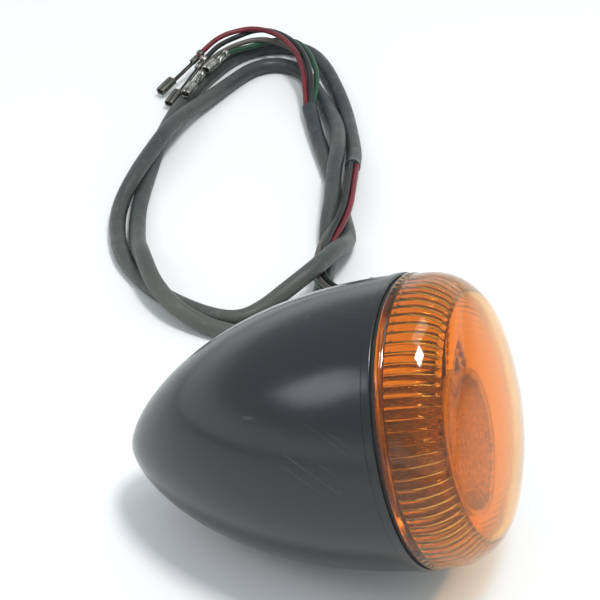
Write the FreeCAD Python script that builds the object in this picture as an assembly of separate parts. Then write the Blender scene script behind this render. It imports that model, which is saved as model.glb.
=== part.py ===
import FreeCAD, Part
import math
import os

from FreeCAD import Vector

# Motorcycle turn signal lamp, lying on its side with its lead coiled behind it.
# Millimetres throughout.
#
# Two frames are used. The lamp's own frame has +X along the lamp axis towards
# the lens, with X = 0 at the rim of the housing, and +Y along the mounting
# stud. The finished part has +Z up, +Y along the stud, and its origin on the
# stud where the free thread starts. to_row() goes from the first to the second:
# the lamp leans back on its bullet-shaped side, so the lens looks up by LEAN.

# Housing
RIM_R = 33.0            # outside radius at the rim
HOUSING_LENGTH = 72.0   # rim to nose
SHAPE_P = 2.18          # the side is r = R (1 - (s/L)^P)^Q
SHAPE_Q = 0.685
WALL = 2.4
BEAD_R = 33.3           # rolled bead behind the rim
BEAD_LENGTH = 2.2
MOUTH_R = 30.8          # bore that takes the lens skirt
MOUTH_DEPTH = 5.0
LEDGE_R = 28.4          # ledge that carries the reflector
LEAN = 17.5             # degrees the lens looks up while the lamp lies down

# Mounting stud, washer and nut, on an axis along +Y
STUD_X = -26.0
BOSS_R = 8.5
BOSS_FACE = 33.0
BOSS_INSIDE = 25.0
STUD_R = 5.0            # M10 x 1.25
STUD_END = 48.0
STUD_BORE_R = 3.0
STUD_HEAD = 2.5
WASHER_THICK = 1.2
NUT_THICK = 4.7
NUT_FLATS = 16.0
ORIGIN_Y = 39.0         # start of the free thread
RUNNING = 0.05          # radial clearance of a running fit

# Lens
SEAL_THICK = 0.8
LENS_R = 32.7
LENS_WALL = 2.2
LENS_CORNER_X = 5.0     # centre of the rounded corner
LENS_CORNER_R = 11.7
LENS_APEX = 20.4

# Bulb axis, beside the lamp axis
BULB_Y = -3.0
BULB_Z = -4.5
GLASS_R = 12.3
GLASS_CENTRE = -3.5
GLASS_WALL = 0.7
NECK_X = -19.5
BASE_R = 7.55
BASE_BACK = -37.0
PIN_X = -31.0
PIN_R = 1.0
PUSH = 2.5              # travel of the bulb against the socket spring
TURN = 20.0             # degrees from locked to free

# Socket
SHELL_R = 8.3
SHELL_BORE = 7.62
SHELL_BACK = -50.0
FLANGE_FRONT = -20.5

# Reflector and cap
BOWL_X = -20.0
BOWL_R = 28.2
BOWL_RIM_X = -5.0
COLLAR_R = 13.6
COLLAR_BORE = 12.9
COLLAR_FRONT = -6.5
CAP_R = 14.6
CAP_FRONT = 10.8
CAP_RIM_R = 16.0

# Lead: four wires, bare at both ends and sheathed between
SHEATH_R = 2.4
WIRE_R = 0.85
WIRE_STEP = 0.95        # half the spacing of the two by two bundle
COIL_HEIGHT = 7.6
COLOURS = ["red", "black", "grey", "green"]
BUNDLE = {"red": (1, 1), "black": (-1, 1), "grey": (-1, -1), "green": (1, -1)}


# ---------------------------------------------------------------- frames

def to_row(x, y, z):
    """A point of the lamp's own frame, in the part's frame."""
    c = math.cos(math.radians(LEAN))
    s = math.sin(math.radians(LEAN))
    dx = x - STUD_X
    return Vector(dx * c - z * s, y - ORIGIN_Y, dx * s + z * c)


def place(shape):
    """A shape of the lamp's own frame, in the part's frame."""
    moved = shape.copy()
    moved.translate(Vector(-STUD_X, -ORIGIN_Y, 0))
    moved.rotate(Vector(0, 0, 0), Vector(0, 1, 0), -LEAN)
    return moved


def side_radius(s, length, radius):
    """Radius of the bullet profile at the distance s behind the rim."""
    return radius * (1 - (s / length) ** SHAPE_P) ** SHAPE_Q


def lowest_point():
    """Height of the surface that the lamp lies on."""
    c = math.cos(math.radians(LEAN))
    s = math.sin(math.radians(LEAN))
    stations = [HOUSING_LENGTH * k / 4000 for k in range(4000)]
    heights = [
        (-t - STUD_X) * s - side_radius(t, HOUSING_LENGTH, RIM_R) * c for t in stations
    ]
    return min(heights)


FLOOR = lowest_point()


# ---------------------------------------------------------------- helpers

def tube_x(x0, x1, outer, inner=0.0, y=0.0, z=0.0):
    """A cylinder or ring along X from x0 to x1."""
    axis = Vector(1, 0, 0)
    body = Part.makeCylinder(outer, x1 - x0, Vector(x0, y, z), axis)
    if inner > 0:
        body = body.cut(Part.makeCylinder(inner, x1 - x0 + 2, Vector(x0 - 1, y, z), axis))
    return body


def tube_y(y0, y1, outer, inner=0.0):
    """A cylinder or ring along the stud axis from y0 to y1."""
    axis = Vector(0, 1, 0)
    body = Part.makeCylinder(outer, y1 - y0, Vector(STUD_X, y0, 0), axis)
    if inner > 0:
        body = body.cut(
            Part.makeCylinder(inner, y1 - y0 + 2, Vector(STUD_X, y0 - 1, 0), axis)
        )
    return body


def turned(edges, y=0.0, z=0.0):
    """Revolve a closed outline, drawn as (x, radius), about an axis along X."""
    face = Part.Face(Part.Wire(edges))
    solid = face.revolve(Vector(0, 0, 0), Vector(1, 0, 0), 360)
    solid.translate(Vector(0, y, z))
    return solid


def line(a, b):
    return Part.LineSegment(Vector(*a), Vector(*b)).toShape()


def arc(a, through, b):
    return Part.Arc(Vector(*a), Vector(*through), Vector(*b)).toShape()


def polyline(points):
    return [line(a, b) for a, b in zip(points, points[1:])]


def flat(points):
    return [(x, r, 0) for x, r in points]


def bullet_curve(s_start, length, radius):
    """The bullet profile from s_start behind the rim to its point on the axis."""
    first = math.asin(s_start / length)
    points = []
    for k in range(13):
        angle = first + (math.pi / 2 - first) * k / 12
        s = length * math.sin(angle)
        r = 0.0 if k == 12 else side_radius(s, length, radius)
        points.append(Vector(-s, r, 0))
    curve = Part.BSplineCurve()
    curve.interpolate(Points=points)
    return curve.toShape()


def smooth_tube(points, radius, name):
    """A round tube along straight runs joined by the largest arcs they allow."""
    edges = []
    here = points[0]
    smallest = None
    for before, corner, after in zip(points, points[1:], points[2:]):
        into = (corner - before).normalize()
        out = (after - corner).normalize()
        turn = into.getAngle(out)
        cut = 0.45 * min((corner - before).Length, (after - corner).Length)
        bend = cut / math.tan(turn / 2)
        start = corner - into * cut
        end = corner + out * cut
        bisector = (out - into).normalize()
        depth = bend / math.cos(turn / 2) - bend
        edges.append(Part.LineSegment(here, start).toShape())
        edges.append(Part.Arc(start, corner + bisector * depth, end).toShape())
        here = end
        smallest = bend if smallest is None else min(smallest, bend)
    edges.append(Part.LineSegment(here, points[-1]).toShape())
    path = Part.Wire(edges)
    section = Part.Wire(
        Part.Circle(points[0], points[1] - points[0], radius).toShape()
    )
    tube = path.makePipeShell([section], True, False)
    expected = math.pi * radius ** 2 * path.Length
    print(
        f"{name}: length {path.Length:.1f} mm, smallest radius {smallest:.1f} mm,"
        f" volume over section times length {tube.Volume / expected:.4f}"
    )
    return tube


def beside(points, across, above):
    """A route moved sideways and upwards, square to its own direction."""
    moved = []
    for i, point in enumerate(points):
        before = points[max(i - 1, 0)]
        after = points[min(i + 1, len(points) - 1)]
        along = (after - before).normalize()
        side = along.cross(Vector(0, 0, 1)).normalize()
        up = side.cross(along)
        moved.append(point + side * across + up * above)
    return moved


def screw_x(head_x, y, z, length):
    """A pan-head screw along +X whose head sits at head_x."""
    head = tube_x(head_x - 1.3, head_x, 1.9, y=y, z=z)
    slot = Part.makeBox(0.6, 4.2, 0.5, Vector(head_x - 1.4, y - 2.1, z - 0.25))
    return head.fuse(tube_x(head_x, head_x + length, 1.0, y=y, z=z)).cut(slot)


# ---------------------------------------------------------------- housing

def housing():
    """Bullet-shaped shell with a beaded rim, a reflector ledge and a stud boss."""
    inner_length = HOUSING_LENGTH - WALL
    inner_radius = RIM_R - WALL
    behind_ledge = 8.5
    edges = [
        line((0, MOUTH_R, 0), (0, BEAD_R - 0.4, 0)),
        arc((0, BEAD_R - 0.4, 0), (-0.12, BEAD_R - 0.12, 0), (-0.4, BEAD_R, 0)),
        line((-0.4, BEAD_R, 0), (-BEAD_LENGTH + 0.3, BEAD_R, 0)),
    ]
    outside = bullet_curve(BEAD_LENGTH, HOUSING_LENGTH, RIM_R)
    inside = bullet_curve(behind_ledge, inner_length, inner_radius)
    shoulder = outside.Vertexes[0].Point
    ledge_back = inside.Vertexes[0].Point
    edges.append(line((-BEAD_LENGTH + 0.3, BEAD_R, 0), tuple(shoulder)))
    edges.append(outside)
    edges.append(line((-HOUSING_LENGTH, 0, 0), (-inner_length, 0, 0)))
    edges.append(inside)
    edges += polyline(
        [tuple(ledge_back)]
        + flat(
            [
                (-MOUTH_DEPTH - 1.5, LEDGE_R),
                (-MOUTH_DEPTH, LEDGE_R),
                (-MOUTH_DEPTH, MOUTH_R),
                (-4.1, MOUTH_R),
                (-4.1, 31.6),
                (-3.1, 31.6),
                (-3.1, MOUTH_R),
                (0, MOUTH_R),
            ]
        )
    )
    shell = turned(edges)
    boss = tube_y(BOSS_INSIDE, BOSS_FACE, BOSS_R)
    hole = tube_y(BOSS_INSIDE - 5, BOSS_FACE + 5, STUD_R + RUNNING)
    return shell.fuse(boss).cut(hole).removeSplitter()


def lens_seal():
    """Flat rubber gasket on the rim."""
    return tube_x(0, SEAL_THICK, 32.5, MOUTH_R)


# ---------------------------------------------------------------- lens

def dome_numbers(apex, corner_radius):
    """Radius of the front dome, and the angle at which it meets the corner."""
    corner_r = LENS_R - LENS_CORNER_R
    reach = apex - LENS_CORNER_X
    dome = (reach ** 2 + corner_r ** 2 - corner_radius ** 2) / (2 * (reach - corner_radius))
    angle = math.asin(corner_r / (dome - corner_radius))
    return dome, angle


def lens_curve(apex, corner_radius):
    """Side corner and front dome, from the straight wall to the apex."""
    cx = LENS_CORNER_X
    cr = LENS_R - LENS_CORNER_R
    dome, angle = dome_numbers(apex, corner_radius)
    middle = (math.pi / 2 + angle) / 2
    meet = (cx + corner_radius * math.cos(angle), cr + corner_radius * math.sin(angle), 0)
    corner_mid = (
        cx + corner_radius * math.cos(middle),
        cr + corner_radius * math.sin(middle),
        0,
    )
    centre = apex - dome
    dome_mid = (centre + dome * math.cos(angle / 2), dome * math.sin(angle / 2), 0)
    start = (cx, cr + corner_radius, 0)
    return arc(start, corner_mid, meet), arc(meet, dome_mid, (apex, 0, 0))


def lens():
    """Amber cup: skirt in the housing, flange on the seal, wall, corner and dome."""
    back = SEAL_THICK + 0.02
    corner, dome = lens_curve(LENS_APEX, LENS_CORNER_R)
    inner_corner, inner_dome = lens_curve(LENS_APEX - LENS_WALL, LENS_CORNER_R - LENS_WALL)
    edges = polyline(
        flat(
            [
                (LENS_CORNER_X, LENS_R - LENS_WALL),
                (3.2, LENS_R - LENS_WALL),
                (1.6, 28.9),
                (-2.8, 28.9),
                (-2.8, 30.65),
                (back, 30.65),
                (back, RIM_R),
                (back + 1.2, RIM_R),
                (back + 1.2, LENS_R + 0.05),
                (LENS_CORNER_X, LENS_R),
            ]
        )
    )
    edges += [corner, dome]
    edges.append(line((LENS_APEX, 0, 0), (LENS_APEX - LENS_WALL, 0, 0)))
    edges += [inner_dome, inner_corner]
    return turned(edges)


# ---------------------------------------------------------------- reflector

def reflector():
    """Metallised bowl with a collar round the bulb and a back wall for the socket."""
    depth = BOWL_RIM_X - BOWL_X
    front = []
    for k in range(7):
        r = BOWL_R * k / 6
        front.append(Vector(BOWL_X + depth * (r / BOWL_R) ** 2, r, 0))
    back = [Vector(p.x - 1.4, p.y * 0.995, 0) for p in front]
    inside = Part.BSplineCurve()
    inside.interpolate(Points=front)
    outside = Part.BSplineCurve()
    outside.interpolate(Points=back)
    edges = [inside.toShape()]
    edges += polyline(
        [
            tuple(front[-1]),
            (-4.1, BOWL_R, 0),
            (-4.1, 30.7, 0),
            (-MOUTH_DEPTH, 30.7, 0),
            (-MOUTH_DEPTH, BOWL_R + 0.1, 0),
            tuple(back[-1]),
        ]
    )
    edges.append(outside.toShape())
    edges.append(line(tuple(back[0]), tuple(front[0])))
    bowl = turned(edges)
    bowl = bowl.cut(tube_x(-40, 0, COLLAR_R - 0.2, y=BULB_Y, z=BULB_Z))
    collar = tube_x(FLANGE_FRONT, COLLAR_FRONT, COLLAR_R, COLLAR_BORE, BULB_Y, BULB_Z)
    wall = tube_x(FLANGE_FRONT, FLANGE_FRONT + 1.2, COLLAR_R, 8.7, BULB_Y, BULB_Z)
    body = bowl.fuse(collar).fuse(wall)
    for y, z in screw_places():
        body = body.cut(tube_x(FLANGE_FRONT - 1, FLANGE_FRONT + 3, 1.0, y=y, z=z))
    return body.removeSplitter()


def retaining_ring():
    """Open spring ring that holds the reflector on its ledge."""
    ring = tube_x(-4.1, -3.2, 31.5, 29.6)
    gap = Part.makeBox(4, 5, 6, Vector(-5.5, -2.5, 28))
    return ring.cut(gap)


def diffuser_cap():
    """Stippled cup over the bulb, pressed on the reflector's collar."""
    wall = tube_x(-10, CAP_FRONT - 1.2, CAP_R, COLLAR_R, BULB_Y, BULB_Z)
    front = tube_x(CAP_FRONT - 1.2, CAP_FRONT, CAP_RIM_R, y=BULB_Y, z=BULB_Z)
    rim = tube_x(CAP_FRONT, CAP_FRONT + 0.4, CAP_RIM_R, CAP_R, BULB_Y, BULB_Z)
    return wall.fuse(front).fuse(rim).removeSplitter()


# ---------------------------------------------------------------- socket

def screw_places():
    return [(BULB_Y, BULB_Z + 10.9), (BULB_Y, BULB_Z - 10.9)]


def bayonet_slot(angle):
    """Cutter for one slot of the socket: straight in, then round by TURN."""
    reach = SHELL_R + 1.5
    half = PIN_R + 0.15
    entry = Part.makeBox(
        PIN_X + half + 30, 2 * half, reach, Vector(PIN_X - PUSH - half, -half, 0)
    )
    entry.rotate(Vector(0, 0, 0), Vector(1, 0, 0), -TURN)
    steps = 8
    cutter = entry
    for k in range(steps + 1):
        piece = Part.makeBox(
            PUSH + 2 * half, 2 * half, reach, Vector(PIN_X - PUSH - half, -half, 0)
        )
        piece.rotate(Vector(0, 0, 0), Vector(1, 0, 0), -TURN * k / steps)
        cutter = cutter.fuse(piece)
    cutter.rotate(Vector(0, 0, 0), Vector(1, 0, 0), angle)
    cutter.translate(Vector(0, BULB_Y, BULB_Z))
    return cutter


def socket_shell():
    """Bayonet socket with its flange against the back of the reflector."""
    shell = tube_x(SHELL_BACK, FLANGE_FRONT + 1.2, SHELL_R, SHELL_BORE, BULB_Y, BULB_Z)
    for angle in (0, 180):
        shell = shell.cut(bayonet_slot(angle))
    flange = tube_x(FLANGE_FRONT - 0.8, FLANGE_FRONT, COLLAR_R, SHELL_R, BULB_Y, BULB_Z)
    for y, z in screw_places():
        flange = flange.cut(tube_x(FLANGE_FRONT - 2, FLANGE_FRONT + 2, 1.0, y=y, z=z))
    joined = shell
    for angle in (0, 180):
        sector = flange.common(side_block(angle))
        joined = joined.fuse(sector)
    return joined.removeSplitter()


def side_block(angle):
    """Half-width block that leaves the bayonet slots open through the flange."""
    block = Part.makeBox(4, 40, 13, Vector(FLANGE_FRONT - 2, -20, 4.2))
    block.rotate(Vector(0, 0, 0), Vector(1, 0, 0), angle)
    block.translate(Vector(0, BULB_Y, BULB_Z))
    return block


def socket_screws():
    """The two screws that hold the socket to the reflector."""
    one, two = [screw_x(FLANGE_FRONT - 0.8, y, z, 2.8) for y, z in screw_places()]
    return Part.makeCompound([one, two])


def socket_end():
    """Insulating plate that closes the back of the socket."""
    return tube_x(SHELL_BACK - 1.2, SHELL_BACK, SHELL_R, y=BULB_Y, z=BULB_Z)


def socket_spring():
    """Coil spring between the plate and the contact carrier."""
    length = 8.4
    wire = 0.35
    start = -SHELL_BACK - 0.45
    helix = Part.makeHelix(length / 5, length, 5.6)
    section = Part.Wire(
        Part.Circle(Vector(5.6, 0, 0), Vector(0, 1, 0), wire).toShape()
    )
    coil = Part.Wire(helix.Edges).makePipeShell([section], True, True)
    coil.rotate(Vector(0, 0, 0), Vector(0, 1, 0), 90)
    coil.translate(Vector(-start, BULB_Y, BULB_Z))
    return coil


def contact_carrier():
    """Insulating disc that slides in the socket."""
    return tube_x(-40.6, -38.4, SHELL_BORE - 0.1, y=BULB_Y, z=BULB_Z)


def contact_pips():
    """The two live contacts on the carrier."""
    pips = [tube_x(-38.4, -37.6, 1.2, y=BULB_Y + d, z=BULB_Z) for d in (-3, 3)]
    return Part.makeCompound(pips)


# ---------------------------------------------------------------- bulb

def glass_outline(radius, neck):
    """Front, widest point, end of the round part, and the straight neck."""
    end = math.radians(128)
    return [
        (GLASS_CENTRE + radius, 0, 0),
        (GLASS_CENTRE, radius, 0),
        (GLASS_CENTRE + radius * math.cos(end), radius * math.sin(end), 0),
        (NECK_X + 3.2, neck, 0),
        (NECK_X, neck, 0),
    ]


def bulb_glass():
    """Round envelope narrowing to a neck in the base."""
    outer = glass_outline(GLASS_R, 7.0)
    inner = glass_outline(GLASS_R - GLASS_WALL, 6.3)
    edges = [arc(*outer[:3])]
    edges += polyline(outer[2:] + inner[:1:-1])
    edges += [arc(*inner[2::-1]), line(inner[0], outer[0])]
    return turned(edges, BULB_Y, BULB_Z)


def bulb_base():
    """Brass cap with its two bayonet pins."""
    base = tube_x(BASE_BACK, NECK_X, BASE_R, y=BULB_Y, z=BULB_Z)
    for way in (1, -1):
        start = Vector(PIN_X, BULB_Y, BULB_Z)
        base = base.fuse(Part.makeCylinder(PIN_R, BASE_R + 0.95, start, Vector(0, 0, way)))
    base = base.cut(tube_x(BASE_BACK - 1, NECK_X - 0.6, BASE_R - 0.4, y=BULB_Y, z=BULB_Z))
    return base.cut(tube_x(NECK_X - 2, NECK_X + 2, 6.0, y=BULB_Y, z=BULB_Z))


def bulb_insulator():
    """Glass bead that closes the base round the contacts."""
    return tube_x(BASE_BACK, BASE_BACK + 2, BASE_R - 0.4, y=BULB_Y, z=BULB_Z)


def bulb_contacts():
    """Solder dots on the base."""
    dots = [tube_x(BASE_BACK - 0.6, BASE_BACK, 1.3, y=BULB_Y + d, z=BULB_Z) for d in (-3, 3)]
    return Part.makeCompound(dots)


def bulb_stem():
    """Glass mount that carries the filament supports."""
    stem = tube_x(NECK_X, -14, 2.4, y=BULB_Y, z=BULB_Z)
    return stem.fuse(tube_x(NECK_X, NECK_X + 1, 6.0, y=BULB_Y, z=BULB_Z)).removeSplitter()


def bulb_supports():
    """Support wires between the stem and the filaments."""
    wires = []
    for y, z in ((-2.0, 1.0), (2.0, 1.0), (-2.0, -1.0), (2.0, -1.0)):
        start = Vector(-14, BULB_Y + y * 0.8, BULB_Z + z)
        way = Vector(GLASS_CENTRE + 14, y * 0.7, z)
        wires.append(Part.makeCylinder(0.25, way.Length, start, way))
    return Part.makeCompound(wires)


def bulb_filaments():
    """The two filaments, each as the envelope of its fine coil."""
    coils = []
    for z in (2.0, -2.0):
        start = Vector(GLASS_CENTRE + 0.45, BULB_Y - 3.2, BULB_Z + z)
        coils.append(Part.makeCylinder(0.35, 6.4, start, Vector(0, 1, 0)))
    return Part.makeCompound(coils)


# ---------------------------------------------------------------- mounting

def mounting_stud():
    """Hollow stud whose head sits inside the housing."""
    head = tube_y(BOSS_INSIDE - STUD_HEAD, BOSS_INSIDE, 7.4)
    shank = tube_y(BOSS_INSIDE, STUD_END - 0.5, STUD_R)
    tip = Part.makeCone(
        STUD_R, STUD_R - 0.5, 0.5, Vector(STUD_X, STUD_END - 0.5, 0), Vector(0, 1, 0)
    )
    groove = tube_y(ORIGIN_Y - 0.6, ORIGIN_Y - 0.05, STUD_R + 1, STUD_R - 0.3)
    flats = Part.makeBox(30, 30, 30, Vector(STUD_X - 15, BOSS_INSIDE - 20, 6.2))
    other = flats.mirror(Vector(0, 0, 0), Vector(0, 0, 1))
    body = head.cut(flats).cut(other).fuse(shank).fuse(tip).cut(groove)
    return body.cut(tube_y(0, STUD_END + 5, STUD_BORE_R)).removeSplitter()


def cable_bush():
    """Rubber sleeve that guards the wires where they leave the stud."""
    return tube_y(STUD_END - 7, STUD_END, STUD_BORE_R, 2.3)


def lock_washer():
    """Toothed lock washer."""
    ring = tube_y(BOSS_FACE, BOSS_FACE + WASHER_THICK, 8.8, STUD_R + 0.2)
    for k in range(12):
        notch = Part.makeBox(1.6, WASHER_THICK + 2, 4, Vector(-0.8, -1, 7.2))
        notch.rotate(Vector(0, 0, 0), Vector(0, 1, 0), 30 * k)
        notch.translate(Vector(STUD_X, BOSS_FACE, 0))
        ring = ring.cut(notch)
    return ring


def jam_nut():
    """Thin hexagon nut with chamfered corners."""
    start = BOSS_FACE + WASHER_THICK
    across = NUT_FLATS / math.cos(math.radians(30)) / 2
    corners = []
    for k in range(7):
        angle = math.radians(60 * k)
        corners.append(
            Vector(STUD_X + across * math.cos(angle), start, across * math.sin(angle))
        )
    prism = Part.Face(Part.makePolygon(corners)).extrude(Vector(0, NUT_THICK, 0))
    axis = Vector(0, 1, 0)
    chamfer = Part.makeCone(across - 0.6, across + 1.6, 2.2, Vector(STUD_X, start, 0), axis)
    middle = tube_y(start + 2.2, start + NUT_THICK - 2.2, across + 1.6)
    far = Part.makeCone(
        across + 1.6, across - 0.6, 2.2, Vector(STUD_X, start + NUT_THICK - 2.2, 0), axis
    )
    nut = prism.common(chamfer.fuse(middle).fuse(far))
    return nut.cut(tube_y(start - 1, start + NUT_THICK + 1, STUD_R + RUNNING)).removeSplitter()


# ---------------------------------------------------------------- lead

def inner_lead(colour):
    """A wire from the back of the socket through the stud to its end."""
    across, above = BUNDLE[colour]
    middle = [
        Vector(SHELL_BACK - 1.2, BULB_Y, BULB_Z),
        Vector(-58, BULB_Y, BULB_Z),
        Vector(-60.5, 5, -2.5),
        Vector(-56, 12, -1),
        Vector(-47, 14.5, 0),
        Vector(-38, 14, 0),
        Vector(-31, 14.3, 0),
        Vector(STUD_X, 19, 0),
        Vector(STUD_X, STUD_END, 0),
    ]
    points = beside(middle, across * WIRE_STEP, above * WIRE_STEP)
    points[1].y = points[0].y
    points[1].z = points[0].z
    points[-2].x = points[-1].x
    points[-2].z = points[-1].z
    return smooth_tube([to_row(*p) for p in points], WIRE_R, "inner_lead_" + colour)


def above_floor(points):
    return [Vector(x, y, FLOOR + h) for x, y, h in points]


def base_route():
    """Middle of the four bare wires, from the stud down to the coil."""
    start = [Vector(0, STUD_END - ORIGIN_Y, 0), Vector(0, 21, 0), Vector(-2, 33, -7.5)]
    along = [
        (-7, 45, 13.0), (-14, 56, 10.4), (-20, 67, 9.9), (-23.3, 79, 9.8),
        (-24.6, 91, 9.8), (-26, 103, 9.8),
    ]
    return start + above_floor(along)


def base_wire(colour):
    """One bare wire between the stud and the sheath."""
    across, above = BUNDLE[colour]
    c = math.cos(math.radians(LEAN))
    s = math.sin(math.radians(LEAN))
    side = WIRE_STEP * (across * c - above * s)
    up = WIRE_STEP * (across * s + above * c)
    route = beside(base_route(), side, up)
    start = to_row(STUD_X + across * WIRE_STEP, STUD_END, above * WIRE_STEP)
    route[0] = start
    route[1] = start + Vector(0, 12, 0)
    return smooth_tube(route, WIRE_R, "base_wire_" + colour)


def closed_outline(points, z):
    """Smooth closed curve through points of one level."""
    curve = Part.BSplineCurve()
    curve.interpolate(Points=[Vector(x, y, z) for x, y in points], PeriodicFlag=True)
    return Part.Wire(curve.toShape())


def cable_coil():
    """Outer shape of the sheathed lead, coiled twice and a bit on the floor."""
    outer = [
        (-44, 25.5), (-31, 26.8), (-21, 34.5), (-17.8, 46), (-17.4, 60), (-18.6, 82),
        (-23.7, 107), (-30.5, 136), (-41, 163), (-53, 184.5), (-64.5, 192.5),
        (-78, 186), (-87.5, 169), (-92.5, 143), (-92.3, 112), (-92.3, 81),
        (-85, 58), (-71, 36.5), (-57, 28.2),
    ]
    inner = [
        (-47, 40.5), (-36, 43.5), (-29.5, 55), (-29.2, 73), (-31.5, 94), (-36.8, 115),
        (-42.5, 141), (-53, 159.5), (-64, 173.2), (-72.5, 166), (-80, 150),
        (-84.6, 124), (-84.4, 97), (-79.5, 72), (-71, 53), (-59, 43.5),
    ]
    rise = Vector(0, 0, COIL_HEIGHT)
    body = Part.Face(closed_outline(outer, FLOOR)).extrude(rise)
    return body.cut(Part.Face(closed_outline(inner, FLOOR - 1)).extrude(rise * 1.5))


def cable_head():
    """Start of the sheath, from the bare wires down into the coil."""
    inward = above_floor([(-27.17, 113, 9.8), (-29.2, 124, 6.9), (-33, 134, 4.4)])
    return smooth_tube([base_route()[-1]] + inward, SHEATH_R, "cable_head")


def cable_tail():
    """End of the sheath, lying inside the loop, from the coil to the bare end wires."""
    return smooth_tube(above_floor(TAIL), SHEATH_R, "cable_tail")


# The end of the sheath and the end wires, as points of x, y and height above
# the floor. Each wire starts in the two by two bundle and stops at its terminal.
TAIL = [(-35, 113, 2.6), (-39.5, 125.5, 2.6), (-45, 138, 2.8), (-50.3, 149.5, 3.6)]
END_ROUTES = {
    "red": [
        (-51.1, 149.1, 2.65), (-54.6, 158.5, 8.6), (-60, 169.5, 12.0), (-66.5, 179.5, 12.9),
        (-75, 186, 11.4), (-84, 184.5, 8.9), (-91, 177, 8.2), (-94.8, 168, 6.2),
        (-97.2, 158.5, 4.4),
    ],
    "black": [
        (-51.1, 149.1, 4.55), (-55.5, 158.5, 10.8), (-61, 169, 14.0), (-68, 179, 14.9),
        (-76, 184, 13.4), (-84.8, 181.5, 11.2), (-90.4, 174, 9.8), (-92.8, 164.5, 7.9),
        (-94, 154, 5.8),
    ],
    "grey": [
        (-49.5, 149.9, 4.55), (-51.2, 156.9, 11.6), (-56.8, 170.5, 11.8), (-66, 180.5, 11.0),
        (-76, 183, 9.4), (-84.5, 177, 8.6), (-88.8, 166.5, 8.8), (-89.2, 155, 8.9),
    ],
    "green": [
        (-49.5, 149.9, 2.65), (-53.0, 157.9, 9.3), (-54.6, 169.5, 9.1), (-61, 178, 8.6),
        (-70, 179.5, 8.5), (-78.5, 176, 8.5), (-83.5, 170.5, 8.8), (-85, 163.5, 8.9),
    ],
}
TERMINAL_WAYS = {
    "red": (-3.3, -10.5, -2.6),
    "black": (-2.0, -10.6, -3.4),
    "grey": (-0.8, -12.0, 0.0),
    "green": (-0.5, -12.0, 0.0),
}
TERMINAL_BARREL = 4.0
TERMINAL_BOX = 8.0


def end_wire(colour):
    """One bare wire from the sheath's end, over the coil, to its terminal."""
    return smooth_tube(above_floor(END_ROUTES[colour]), WIRE_R, "end_wire_" + colour)


def terminal(colour):
    """Bare crimped female terminal, pointing along its way."""
    axis = Vector(1, 0, 0)
    barrel = Part.makeCylinder(1.25, TERMINAL_BARREL, Vector(0, 0, 0), axis)
    neck = Part.makeBox(2.0, 1.6, 1.2, Vector(TERMINAL_BARREL - 1, -0.8, -1.1))
    box = Part.makeBox(TERMINAL_BOX - 1, 3.0, 2.4, Vector(TERMINAL_BARREL + 1, -1.5, -1.2))
    mouth = Part.makeBox(TERMINAL_BOX, 2.2, 1.6, Vector(TERMINAL_BARREL + 2.5, -1.1, -0.8))
    body = barrel.fuse(neck).fuse(box.cut(mouth)).removeSplitter()
    way = Vector(*TERMINAL_WAYS[colour]).normalize()
    body.rotate(Vector(0, 0, 0), Vector(0, 1, 0), math.degrees(math.asin(-way.z)))
    body.rotate(Vector(0, 0, 0), Vector(0, 0, 1), math.degrees(math.atan2(way.y, way.x)))
    body.translate(above_floor([END_ROUTES[colour][-1]])[0])
    return body


# ---------------------------------------------------------------- output

def all_parts():
    lamp = {
        "housing": housing(),
        "lens_seal": lens_seal(),
        "lens": lens(),
        "reflector": reflector(),
        "retaining_ring": retaining_ring(),
        "diffuser_cap": diffuser_cap(),
        "socket_shell": socket_shell(),
        "socket_screws": socket_screws(),
        "socket_end_plate": socket_end(),
        "socket_spring": socket_spring(),
        "contact_carrier": contact_carrier(),
        "contact_pips": contact_pips(),
        "bulb_glass": bulb_glass(),
        "bulb_base": bulb_base(),
        "bulb_base_insulator": bulb_insulator(),
        "bulb_contacts": bulb_contacts(),
        "bulb_stem": bulb_stem(),
        "filament_supports": bulb_supports(),
        "filaments": bulb_filaments(),
        "mounting_stud": mounting_stud(),
        "cable_bush": cable_bush(),
        "lock_washer": lock_washer(),
        "jam_nut": jam_nut(),
    }
    parts = {name: place(shape) for name, shape in lamp.items()}
    for colour in COLOURS:
        parts["inner_lead_" + colour] = inner_lead(colour)
        parts["base_wire_" + colour] = base_wire(colour)
        parts["end_wire_" + colour] = end_wire(colour)
        parts["terminal_" + colour] = terminal(colour)
    parts["cable_head"] = cable_head()
    parts["cable_tail"] = cable_tail()
    parts["cable_coil"] = cable_coil()
    return parts


os.makedirs("parts", exist_ok=True)
for name, shape in all_parts().items():
    shape.exportStep(f"parts/{name}.step")
    print(f"{name}: {shape.Volume:.1f} mm3, valid {shape.isValid()}")
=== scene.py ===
"""Looks of the turn signal indicator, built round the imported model.

The lamp's own frame has +X out of the lens along the lamp's axis, x = 0 on the
rim of the housing and +Y along the stud. to_row() takes a point from there to
the row frame. Lengths at the top are in millimetres, and Blender works in metres.
"""
import math

import bmesh
import bpy
from mathutils import Matrix, Vector


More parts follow.
